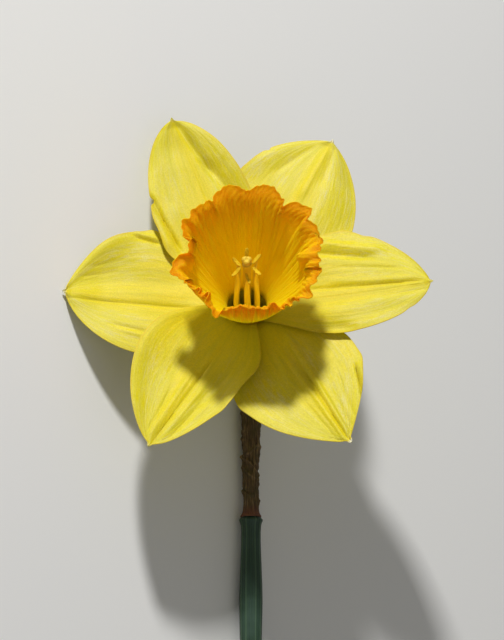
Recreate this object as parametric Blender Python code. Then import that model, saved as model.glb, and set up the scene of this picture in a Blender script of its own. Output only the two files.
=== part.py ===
"""A picked daffodil in full bloom, lying at rest on a level surface.

The flower is worked out in its own frame: the origin is the middle of the throat, +Z runs
forward along the trumpet, +Y points up in the plane of the petals, away from the stalk, and
+X points to the right as the flower is faced. One empty then lays the whole flower down, so
that its stalk and the tip of its left sepal touch the surface.
"""
import math

import bpy
import numpy as np
from mathutils import Matrix

MM = 0.001

# Every size below is in millimetres, every angle in degrees.
SHEET = 0.7                  # thickness of a petal and of the trumpet's wall
SEAT_RADIUS = 6.5            # where the petals start, just outside the trumpet's foot
SEAT_FADE = 8                # power with which the seat's curve fades along a petal
SPREAD = 50.0                # distance from the axis at which FACE_LIFT is reached
FACE_LIFT = 5.5              # how far the petals' ends stand in front of their bases
PETAL_LEVEL = -0.2           # height of the inner petals' middle surface at their base
SEPAL_LEVEL = -1.35          # the same for the outer sepals, behind them
BASE_HALF_WIDTH = 6.0
CUP = 1.4                    # how far the long edges bend out of the plane

# turn: direction of the tip round the axis, anticlockwise from +X as the flower is faced.
# left and right: greatest half width on each side, as the tip points away from the axis.
# wide_at: where along the length that is. blunt: lower values give a rounder end.
TEPALS = {
    "petal_upper_left": dict(turn=111.2, length=59.4, left=15.4, right=13.8,
                             wide_at=0.38, blunt_left=0.53, blunt_right=0.56),
    "petal_right": dict(turn=4.4, length=50.1, left=19.3, right=12.2,
                        wide_at=0.44, blunt_left=0.70, blunt_right=0.60),
    "petal_lower_left": dict(turn=240.5, length=51.8, left=12.2, right=19.3,
                             wide_at=0.27, blunt_left=0.73, blunt_right=0.75),
    "sepal_upper_right": dict(turn=64.4, length=54.6, left=20.4, right=17.1,
                              wide_at=0.43, blunt_left=0.59, blunt_right=0.71),
    "sepal_left": dict(turn=178.4, length=49.8, left=17.0, right=21.5,
                       wide_at=0.45, blunt_left=0.70, blunt_right=0.71),
    "sepal_lower_right": dict(turn=302.0, length=51.3, left=18.5, right=18.8,
                              wide_at=0.39, blunt_left=1.12, blunt_right=0.92),
}
TEPAL_ROWS = 14
TEPAL_COLUMNS = 8

# Trumpet: radius of the wall's middle surface and height, from the foot to the rim.
TRUMPET_PROFILE = [(5.65, -1.7), (5.75, 0.2), (6.9, 2.6), (9.3, 7.0), (12.8, 14.0),
                   (15.8, 20.5), (18.0, 25.0), (20.3, 28.0)]
TRUMPET_ROWS = 10
TRUMPET_SIDES = 60
RIM_LOBES = 12
RIM_WAVE = 1.0               # how far a lobe of the rim swings out and forward
LIP_DROP = 4.6               # how much less the lower lip flares than the rest of the rim
LIP_TURN = 270.0
LIP_EXTENT = 24.0

# Floral tube, from its open mouth down to its closed foot.
TUBE_WALL = 0.8
TUBE_OUTSIDE = [(8.3, -2.1), (6.4, -3.9), (5.3, -7.0), (4.8, -11.0), (4.5, -14.5), (3.3, -17.0)]
TUBE_FLOOR = -16.2

OVARY_TOP = -17.3
OVARY_LENGTH = 10.0
OVARY_RADIUS = 3.4
OVARY_END_RADIUS = 2.0

STYLE_RADIUS = 1.05
STYLE_FOOT = -15.9
STYLE_TOP = 22.6
STIGMA_RADIUS = 1.35
STIGMA_HEIGHT = 2.3

# Stamens: distance from the axis and height of points up a filament.
FILAMENT_ROUTE = [(2.7, -13.0), (2.9, -7.0), (3.1, -1.0), (3.2, 4.0), (3.0, 10.0),
                  (2.7, 14.5), (2.6, 17.0)]
FILAMENT_RADIUS = 0.7
FILAMENT_TIP_RADIUS = 0.32
ANTHER_LENGTH = 3.1
ANTHER_RADIUS = 0.5
ANTHER_REACH = 3.1           # distance from the axis of an anther's middle
ANTHER_STEP = 1.0            # from an anther's middle down to the end of its filament
# turn round the axis, height of the anther's middle, tilt of its outer end
STAMENS = [(90, 22.6, 50), (30, 22.2, 22), (150, 20.3, 25), (210, 20.6, -18),
           (330, 20.8, 4), (275, 19.7, -8)]

BEND = 75.0                  # angle between the trumpet's axis and the stalk
BEND_RADIUS = 7.0
NECK_STRAIGHT = 40.0         # from the end of the bend down to the node
NECK_DRIFT = 1.1             # sideways offset of the node from the flower's middle plane
PEDICEL_RADIUS = 1.5
SPATHE_FRONT = 37.0          # length of the sheath up its front, where it is closed
SPATHE_BACK = 48.0           # length up its back, to the tip of its hood
SPATHE_SHEET = 0.45
SPATHE_FOOT_RADIUS = 2.1
SPATHE_MOUTH_RADIUS = 2.75
SPATHE_TIP_RADIUS = 5.5      # radius of the hood's curl near its tip
SCAPE_LENGTH = 170.0
# Radius of the stalk and distance down from the node: a collar, then a slight swelling.
SCAPE_PROFILE = [(2.5, 0.0), (2.95, 1.0), (2.62, 3.0), (2.55, 7.0), (3.0, 21.0), (2.85, 40.0),
                 (2.9, 80.0), (3.0, 125.0), (3.15, 170.0)]
SCAPE_KEEL = 0.07            # how much wider than round the stalk is across its two edges
SCAPE_BOW = 4.0              # sideways curve of the stalk at its cut end
BORE_RADIUS = 1.5
BORE_LENGTH = 160.0
GAP = 0.3                    # clearance between pieces that meet

YELLOW = (0.87, 0.75, 0.02)
SEPAL_YELLOW = (0.84, 0.72, 0.04)
ORANGE = (0.90, 0.26, 0.005)
GOLD = (0.80, 0.50, 0.015)
GREEN_YELLOW = (0.42, 0.46, 0.05)
LEAF_GREEN = (0.10, 0.19, 0.045)
STALK_GREEN = (0.045, 0.105, 0.04)
PAPER_BROWN = (0.17, 0.085, 0.045)


def clear_scene():
    for item in list(bpy.data.objects):
        bpy.data.objects.remove(item, do_unlink=True)


def material(name, colour, roughness):
    mat = bpy.data.materials.new(name)
    mat.use_nodes = True
    shader = mat.node_tree.nodes["Principled BSDF"]
    shader.inputs["Base Color"].default_value = (*colour, 1.0)
    shader.inputs["Roughness"].default_value = roughness
    shader.inputs["Metallic"].default_value = 0.0
    return mat


def mesh_object(name, points, faces, finish, parent):
    """A smooth-shaded object from points in millimetres."""
    mesh = bpy.data.meshes.new(name)
    scaled = np.asarray(points, float).reshape(-1, 3) * MM
    mesh.from_pydata(scaled.tolist(), [], faces)
    mesh.shade_smooth()
    mesh.materials.append(material(name, *finish))
    item = bpy.data.objects.new(name, mesh)
    bpy.context.collection.objects.link(item)
    item.parent = parent
    return item


def thicken(item, thickness):
    """Gives a sheet its wall, half on each side of its middle surface."""
    wall = item.modifiers.new("wall", "SOLIDIFY")
    wall.thickness = thickness * MM
    wall.offset = 0.0
    wall.use_even_offset = False
    wall.use_rim = True


def through(points, count):
    """Evenly spread points on a smooth curve through the given ones (Catmull-Rom)."""
    knots = np.asarray(points, float)
    padded = np.vstack([2 * knots[0] - knots[1], knots, 2 * knots[-1] - knots[-2]])
    place = np.linspace(0, len(knots) - 1, count)
    span = np.minimum(place.astype(int), len(knots) - 2)
    t = (place - span)[:, None]
    a, b, c, d = (padded[span + shift] for shift in range(4))
    return 0.5 * (2 * b + (c - a) * t + (2 * a - 5 * b + 4 * c - d) * t ** 2
                  + (3 * b - a - 3 * c + d) * t ** 3)


def half_width(s, widest, wide_at, blunt):
    """Swells as a quarter sine up to the widest place, then rounds off to nothing."""
    swell = np.sin(math.pi / 2 * np.clip(s / wide_at, 0, 1))
    rise = BASE_HALF_WIDTH + (widest - BASE_HALF_WIDTH) * swell
    past = np.clip((s - wide_at) / (1 - wide_at), 0, 1)
    return np.where(s < wide_at, rise, widest * (1 - past ** 2) ** blunt)


def tepal_points(s, q, spec, level, cup):
    """Middle surface of a petal that points along +X: s runs to the tip, q across it."""
    along = SEAT_RADIUS + (spec["length"] - SEAT_RADIUS) * s
    left = half_width(s, spec["left"], spec["wide_at"], spec["blunt_left"])
    right = half_width(s, spec["right"], spec["wide_at"], spec["blunt_right"])
    across = q * np.where(q > 0, left, right)
    wrap = (1 - s) ** SEAT_FADE
    angle = across / SEAT_RADIUS
    x = along - SEAT_RADIUS * (1 - np.cos(angle)) * wrap
    y = across * (1 - wrap) + SEAT_RADIUS * np.sin(angle) * wrap
    lift = FACE_LIFT * (np.hypot(x, y) - SEAT_RADIUS) / (SPREAD - SEAT_RADIUS)
    z = level + lift + cup * q ** 2 * 4 * s * (1 - s)
    return np.stack([x, y, z], axis=-1)


def build_tepal(name, spec, parent):
    front = name.startswith("petal")
    level = PETAL_LEVEL if front else SEPAL_LEVEL
    cup = CUP if front else -CUP
    s = 1 - (1 - np.arange(TEPAL_ROWS) / TEPAL_ROWS) ** 1.5
    q = np.linspace(-1, 1, TEPAL_COLUMNS + 1)
    grid = tepal_points(s[:, None], q[None, :], spec, level, cup).reshape(-1, 3)
    tip = tepal_points(np.array(1.0), np.array(0.0), spec, level, cup)
    stride = TEPAL_COLUMNS + 1
    faces = []
    for row in range(TEPAL_ROWS - 1):
        for column in range(TEPAL_COLUMNS):
            corner = row * stride + column
            faces.append((corner, corner + stride, corner + stride + 1, corner + 1))
    last = (TEPAL_ROWS - 1) * stride
    for column in range(TEPAL_COLUMNS):
        faces.append((last + column, len(grid), last + column + 1))
    colour = YELLOW if front else SEPAL_YELLOW
    item = mesh_object(name, np.vstack([grid, tip]), faces, (colour, 0.5), parent)
    item.rotation_euler.z = math.radians(spec["turn"])
    thicken(item, SHEET)
    return item


def build_corona(parent):
    """The trumpet: a flared tube whose rim swings in lobes."""
    radius, height = through(TRUMPET_PROFILE, TRUMPET_ROWS + 1).T
    theta = np.arange(TRUMPET_SIDES) * 2 * math.pi / TRUMPET_SIDES
    swing = np.linspace(0, 1, TRUMPET_ROWS + 1)[:, None] ** 4 * RIM_WAVE
    lip = np.exp(-((np.degrees(theta) - LIP_TURN) / LIP_EXTENT) ** 2)
    drop = np.linspace(0, 1, TRUMPET_ROWS + 1)[:, None] ** 3 * LIP_DROP * lip
    wide = radius[:, None] + swing * np.cos(RIM_LOBES * theta) - drop
    tall = height[:, None] - 0.6 * swing * np.cos(RIM_LOBES * theta)
    points = np.stack([wide * np.cos(theta), wide * np.sin(theta), tall], axis=-1)
    faces = []
    for row in range(TRUMPET_ROWS):
        for side in range(TRUMPET_SIDES):
            here = row * TRUMPET_SIDES + side
            beside = row * TRUMPET_SIDES + (side + 1) % TRUMPET_SIDES
            faces.append((here, beside, beside + TRUMPET_SIDES, here + TRUMPET_SIDES))
    item = mesh_object("corona", points, faces, (ORANGE, 0.5), parent)
    thicken(item, SHEET)
    return item


def build_turned(name, outline, finish, parent, sides):
    """A piece turned round the flower's axis, from an outline of radius and height."""
    points = [(radius, 0.0, height) for radius, height in outline]
    edges = [(index, index + 1) for index in range(len(points) - 1)]
    mesh = bpy.data.meshes.new(name)
    mesh.from_pydata((np.array(points) * MM).tolist(), edges, [])
    mesh.materials.append(material(name, *finish))
    item = bpy.data.objects.new(name, mesh)
    bpy.context.collection.objects.link(item)
    item.parent = parent
    turn = item.modifiers.new("turn", "SCREW")
    turn.steps = sides
    turn.render_steps = sides
    turn.use_merge_vertices = True
    turn.merge_threshold = 0.00001
    turn.use_smooth_shade = True
    return item


def build_floral_tube(parent):
    outside = through(TUBE_OUTSIDE, 11)
    inside = [(radius - TUBE_WALL, height) for radius, height in outside[:9]]
    outline = [(0, TUBE_FLOOR), (inside[-1][0] - 0.5, TUBE_FLOOR)]
    outline += inside[::-1]
    outline += [tuple(point) for point in outside]
    outline.append((0, outside[-1][1]))
    return build_turned("floral_tube", outline, (GREEN_YELLOW, 0.5), parent, 24)


def build_ovary(parent):
    """An egg-shaped case, a little fuller towards its lower end."""
    outline = [(0, OVARY_TOP)]
    for step in range(9):
        down = step / 8
        belly = 4 * down * (1 - down)
        radius = OVARY_END_RADIUS + 0.5 * (1 - down) + (OVARY_RADIUS - 2.2) * belly
        outline.append((radius, OVARY_TOP - OVARY_LENGTH * down))
    outline.append((0, OVARY_TOP - OVARY_LENGTH))
    return build_turned("ovary", outline, (LEAF_GREEN, 0.45), parent, 20)


def build_style(parent):
    outline = [(0, STYLE_TOP), (STYLE_RADIUS, STYLE_TOP), (STYLE_RADIUS * 0.9, 12.0),
               (STYLE_RADIUS * 1.1, 0.0), (STYLE_RADIUS, STYLE_FOOT), (0, STYLE_FOOT)]
    build_turned("style", outline, (GOLD, 0.45), parent, 12)
    foot = STYLE_TOP + GAP
    knob = [(0, foot + STIGMA_HEIGHT)]
    for step in range(1, 6):
        angle = math.pi * step / 6
        knob.append((STIGMA_RADIUS * math.sin(angle),
                     foot + STIGMA_HEIGHT / 2 * (1 + math.cos(angle))))
    knob.append((0, foot))
    build_turned("stigma", knob, (GOLD, 0.45), parent, 12)


def build_thread(name, points, radii, finish, parent, resolution=2):
    """A tapering stalk along a route, with closed ends."""
    curve = bpy.data.curves.new(name, "CURVE")
    curve.dimensions = "3D"
    curve.bevel_depth = MM
    curve.bevel_resolution = resolution
    curve.use_fill_caps = True
    curve.materials.append(material(name, *finish))
    spline = curve.splines.new("POLY")
    spline.points.add(len(points) - 1)
    for knot, point, radius in zip(spline.points, points, radii):
        knot.co = (*(np.asarray(point) * MM), 1.0)
        knot.radius = radius
    item = bpy.data.objects.new(name, curve)
    bpy.context.collection.objects.link(item)
    item.parent = parent
    return item


def build_stamens(parent):
    """Six filaments that rise in a ring, close on the style and carry tilted anthers."""
    for number, (turn, height, tilt) in enumerate(STAMENS, start=1):
        lean = math.radians(tilt)
        end = (ANTHER_REACH + ANTHER_STEP * math.sin(lean) - 0.3,
               height - ANTHER_STEP * math.cos(lean))
        route = through(FILAMENT_ROUTE + [end], 15)
        points = [(reach, 0.0, level) for reach, level in route]
        radii = np.linspace(FILAMENT_RADIUS, FILAMENT_TIP_RADIUS, len(points))
        filament = build_thread(f"filament_{number}", points, radii, (GOLD, 0.45), parent, 1)
        filament.rotation_euler.z = math.radians(turn)

        along = np.linspace(-1, 1, 7)
        bow = 0.3 * along ** 2
        body = np.stack([along * ANTHER_LENGTH / 2, 0 * along, bow], axis=-1)
        radii = ANTHER_RADIUS * (0.45 + 0.55 * np.sqrt(1 - along ** 2))
        anther = build_thread(f"anther_{number}", body, radii, (GOLD, 0.7), parent, 1)
        angle = math.radians(turn)
        anther.location = (ANTHER_REACH * math.cos(angle) * MM,
                           ANTHER_REACH * math.sin(angle) * MM, height * MM)
        anther.rotation_euler = (0.0, -lean, angle)


def stalk_frame():
    """The directions down the stalk and out of its front, in the flower's frame."""
    bend = math.radians(BEND)
    down = np.array([0.0, -math.sin(bend), -math.cos(bend)])
    front = np.array([0.0, -math.cos(bend), math.sin(bend)])
    return down, front


def neck_route(count=14):
    """The pedicel's axis: out of the ovary, round the bend and straight to the node."""
    start = np.array([0.0, 0.0, OVARY_TOP - OVARY_LENGTH - GAP])
    down, _ = stalk_frame()
    turned = np.radians(np.linspace(0, BEND, count))
    bend = np.stack([0 * turned, -BEND_RADIUS * (1 - np.cos(turned)),
                     -BEND_RADIUS * np.sin(turned)], axis=-1) + start
    straight = bend[-1] + np.linspace(0, NECK_STRAIGHT, 7)[1:, None] * down
    route = np.vstack([bend, straight])
    run = np.linspace(0, 1, len(route))
    route[:, 0] += NECK_DRIFT * run ** 2 * (3 - 2 * run)
    return route


def build_pedicel(parent):
    route = neck_route()
    radii = np.full(len(route), PEDICEL_RADIUS)
    radii[:6] = np.linspace(OVARY_END_RADIUS, PEDICEL_RADIUS, 6)
    build_thread("pedicel", route, radii, (LEAF_GREEN, 0.45), parent, 2)


def build_spathe(parent):
    """A papery sheath: a tube round the pedicel, whose mouth runs up into a hood behind."""
    down, front = stalk_frame()
    side = np.array([1.0, 0.0, 0.0])
    rows, sides = 12, 20
    theta = np.arange(sides) * 2 * math.pi / sides
    behind = ((1 - np.cos(theta)) / 2) ** 2
    up = np.linspace(0, 1, rows + 1)[:, None] * (
        SPATHE_FRONT + (SPATHE_BACK - SPATHE_FRONT) * behind)
    swell = np.clip(up / SPATHE_FRONT, 0, 1) ** 1.5
    closed = SPATHE_FOOT_RADIUS + (SPATHE_MOUTH_RADIUS - SPATHE_FOOT_RADIUS) * swell
    opened = np.clip((up - SPATHE_FRONT) / (SPATHE_BACK - SPATHE_FRONT), 0, 1)
    curl = closed + (SPATHE_TIP_RADIUS - SPATHE_MOUTH_RADIUS) * opened
    out = curl - closed + curl * np.cos(theta)
    points = (neck_route()[-1] - up[..., None] * down
              + (curl * np.sin(theta))[..., None] * side + out[..., None] * front)
    faces = []
    for row in range(rows):
        for column in range(sides):
            here = row * sides + column
            beside = row * sides + (column + 1) % sides
            faces.append((here, beside, beside + sides, here + sides))
    item = mesh_object("spathe", points, faces, (PAPER_BROWN, 0.75), parent)
    thicken(item, SPATHE_SHEET)
    return item


def build_scape(parent):
    """The flower stalk: faintly two-edged, wider downwards, hollow from its cut end."""
    down, front = stalk_frame()
    side = np.array([1.0, 0.0, 0.0])
    top = neck_route()[-1] + GAP * down
    sides = 16
    theta = np.arange(sides) * 2 * math.pi / sides

    def ring(run, radius):
        """A cross-section run millimetres below the node."""
        part = run / SCAPE_LENGTH
        middle = top + run * down - SCAPE_BOW * part ** 3 * side
        around = radius * (1 + SCAPE_KEEL * np.cos(2 * theta))[:, None]
        return middle + around * (np.cos(theta)[:, None] * side
                                  + np.sin(theta)[:, None] * front)

    rings = [ring(run, radius) for radius, run in through(SCAPE_PROFILE, 17)]
    for run in np.linspace(SCAPE_LENGTH, SCAPE_LENGTH - BORE_LENGTH, 9):
        rings.append(ring(run, BORE_RADIUS))
    points = np.vstack([top, *rings, top + (SCAPE_LENGTH - BORE_LENGTH) * down])
    final = len(points) - 1
    faces = []
    for side_index in range(sides):
        beside = (side_index + 1) % sides
        faces.append((0, 1 + beside, 1 + side_index))
        for row in range(len(rings) - 1):
            here = 1 + row * sides
            faces.append((here + side_index, here + beside,
                          here + sides + beside, here + sides + side_index))
        here = 1 + (len(rings) - 1) * sides
        faces.append((here + side_index, here + beside, final))
    return mesh_object("scape", points, faces, (STALK_GREEN, 0.45), parent)


def world_points(item):
    """All corners of a finished piece, with its modifiers, in world space."""
    graph = bpy.context.evaluated_depsgraph_get()
    ready = item.evaluated_get(graph)
    mesh = ready.to_mesh()
    flat = np.empty(len(mesh.vertices) * 3)
    mesh.vertices.foreach_get("co", flat)
    ready.to_mesh_clear()
    place = np.array(ready.matrix_world)
    return flat.reshape(-1, 3) @ place[:3, :3].T + place[:3, 3]


def balance(difference, low, high):
    """The angle between low and high at which the difference is nought, by halving."""
    rising = difference(high) > 0
    for _ in range(40):
        middle = (low + high) / 2
        if (difference(middle) > 0) == rising:
            high = middle
        else:
            low = middle
    return (low + high) / 2


def lay_down(flower):
    """Rests the stalk's two ends and the left sepal's tip on the surface together."""
    bpy.context.view_layer.update()
    pieces = {item.name: world_points(item) for item in flower.children}
    scape = pieces["scape"]
    down, front = stalk_frame()
    run = scape @ down
    middle = (run.min() + run.max()) / 2
    foot = scape[run > middle]
    neck = np.vstack([scape[run < middle], pieces["spathe"], pieces["pedicel"]])
    stalk = np.vstack([scape, neck])
    upright = Matrix((down, np.cross(front, down), front))

    def turned(roll, pitch):
        return Matrix.Rotation(pitch, 3, "Y") @ Matrix.Rotation(roll, 3, "X") @ upright

    def lowest(points, roll, pitch):
        return (points @ np.array(turned(roll, pitch))[2]).min()

    roll, pitch = math.radians(38), 0.0
    sepal = pieces["sepal_left"]
    for _ in range(8):
        roll = balance(lambda angle: lowest(sepal, angle, pitch) - lowest(stalk, angle, pitch),
                       math.radians(15), math.radians(60))
        pitch = balance(lambda angle: lowest(foot, roll, angle) - lowest(neck, roll, angle),
                        math.radians(-6), math.radians(6))
    spin = turned(roll, pitch)
    placed = np.vstack(list(pieces.values())) @ np.array(spin).T
    low, high = placed.min(axis=0), placed.max(axis=0)
    flower.matrix_world = spin.to_4x4()
    flower.location = (-(low[0] + high[0]) / 2, -(low[1] + high[1]) / 2, -low[2])


def main():
    clear_scene()
    flower = bpy.data.objects.new("flower_axis", None)
    bpy.context.collection.objects.link(flower)
    for name, spec in TEPALS.items():
        build_tepal(name, spec, flower)
    build_corona(flower)
    build_floral_tube(flower)
    build_ovary(flower)
    build_style(flower)
    build_stamens(flower)
    build_pedicel(flower)
    build_spathe(flower)
    build_scape(flower)
    lay_down(flower)


main()
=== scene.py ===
import math

import bmesh
import bpy
import numpy as np
from mathutils import Matrix


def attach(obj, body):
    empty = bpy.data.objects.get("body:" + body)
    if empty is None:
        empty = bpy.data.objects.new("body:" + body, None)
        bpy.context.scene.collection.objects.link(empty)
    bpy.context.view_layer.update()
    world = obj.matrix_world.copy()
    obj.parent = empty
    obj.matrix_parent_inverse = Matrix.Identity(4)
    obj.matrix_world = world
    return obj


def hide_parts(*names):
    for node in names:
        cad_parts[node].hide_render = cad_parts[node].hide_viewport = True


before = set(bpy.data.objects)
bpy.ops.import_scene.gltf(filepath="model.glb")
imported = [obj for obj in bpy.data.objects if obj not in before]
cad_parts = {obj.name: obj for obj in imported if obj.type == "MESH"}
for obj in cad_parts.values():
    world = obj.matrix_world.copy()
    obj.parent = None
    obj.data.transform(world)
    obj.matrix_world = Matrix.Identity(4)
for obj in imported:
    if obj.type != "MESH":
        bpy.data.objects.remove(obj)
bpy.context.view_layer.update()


# The flower's own frame. All shapes below are worked out in millimetres, with the origin in
# the middle of the throat, +Z forward along the trumpet, +Y up in the plane of the petals,
# away from the stalk, and +X to the right as the flower is faced.
MM = 0.001
STIGMA_REACH = 25.2          # the stigma's top stands this far in front of the throat
UPPER_PETAL_TURN = 111.2     # direction of the upper left petal's tip, anticlockwise from +X


def corners(node_name):
    """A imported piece's triangles, as an array of triangle, corner and coordinate."""
    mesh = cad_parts[node_name].data
    mesh.calc_loop_triangles()
    flat = np.empty(len(mesh.vertices) * 3)
    mesh.vertices.foreach_get("co", flat)
    index = np.empty(len(mesh.loop_triangles) * 3, dtype=int)
    mesh.loop_triangles.foreach_get("vertices", index)
    return flat.reshape(-1, 3)[index].reshape(-1, 3, 3) / MM


def middle(node_name):
    """The mean of a piece's surface: triangle centres weighted by their areas."""
    tri = corners(node_name)
    area = np.linalg.norm(np.cross(tri[:, 1] - tri[:, 0], tri[:, 2] - tri[:, 0]), axis=1)
    return (tri.mean(axis=1) * area[:, None]).sum(axis=0) / area.sum()


def unit(vector):
    """A vector, or each vector of an array, divided by its own length."""
    return vector / np.linalg.norm(vector, axis=-1, keepdims=True)


style_middle = middle("style")
FORWARD = unit(middle("stigma") - style_middle)
reach = (corners("stigma").reshape(-1, 3) @ FORWARD).max() - STIGMA_REACH
THROAT = style_middle + FORWARD * (reach - style_middle @ FORWARD)
spread = corners("petal_upper_left").reshape(-1, 3) - THROAT
spread -= np.outer(spread @ FORWARD, FORWARD)
petal_way = unit(spread[np.linalg.norm(spread, axis=1).argmax()])
turn = math.radians(UPPER_PETAL_TURN)
RIGHT = petal_way * math.cos(turn) - np.cross(FORWARD, petal_way) * math.sin(turn)
UPWARD = np.cross(FORWARD, RIGHT)
AXES = np.stack([RIGHT, UPWARD, FORWARD])


def placed(points):
    """Points of the flower's frame, in millimetres, as points of the row's frame in metres."""
    return (np.asarray(points) @ AXES + THROAT) * MM


# Camera: faces the flower from a little below its trumpet's axis, so that the trumpet leans
# back by CAMERA_TILT, and looks down on it where it lies.
CAMERA_TILT = math.radians(28.0)
CAMERA_DISTANCE = 650.0
FRAME_HEIGHT = 175.3         # height of the picture at the throat, in millimetres
AIM = (1.4, -4.4)            # the picture's middle, right of and above the throat
SENSOR = 36.0

view_up = np.array([0.0, math.cos(CAMERA_TILT), math.sin(CAMERA_TILT)])
view_back = np.array([0.0, -math.sin(CAMERA_TILT), math.cos(CAMERA_TILT)])
view_right = np.array([1.0, 0.0, 0.0])
camera_data = bpy.data.cameras.new("camera")
camera_data.sensor_width = SENSOR
camera_data.lens = SENSOR * CAMERA_DISTANCE / FRAME_HEIGHT
camera = bpy.data.objects.new("camera", camera_data)
bpy.context.collection.objects.link(camera)
turned = (np.stack([view_right, view_up, view_back]) @ AXES).T
aim_point = view_right * AIM[0] + view_up * AIM[1]
camera.matrix_world = Matrix.LocRotScale(
    placed(aim_point + view_back * CAMERA_DISTANCE), Matrix(turned.tolist()), None)
bpy.context.scene.camera = camera


# Petals and sepals: six thin, satin-yellow blades of living tissue, three inner petals in
# front of three outer sepals, grown on the mouth of the floral tube. Each is one curved sheet
# with its own creases, a thin rolled edge and a pale horny point at the tip.
SEAT_RADIUS = 6.5            # the blades leave the mouth of the tube here
SEAT_FADE = 8                # power with which the seat's curve fades along a blade
SPREAD = 50.0
FACE_LIFT = 5.5              # the blades' ends stand this far in front of their bases
BASE_HALF_WIDTH = 6.0
BLADE_THICKNESS = 0.55
BLADE_EDGE = 0.16
TIP_HORN = 0.8               # length of the point at the tip
TIP_HORN_HALF_WIDTH = 0.62
TIP_LIFT = 0.6               # the point turns forward by this much
MIDRIB_HEIGHT = 0.25         # a blade is this much thicker along its middle line
EDGE_TAPER = 2.2             # its edge thins over this width
SWELL = 0.28                 # height of a blade's broad, slow waves
EDGE_WAVE = 0.12             # height of the shorter waves towards its edges
VEIN_HEIGHT = 0.018
VEINS = (9, 14, 23)          # waves of fine veins on each half of a blade
BLADE_ROWS = 120
BLADE_COLUMNS = 96

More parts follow.
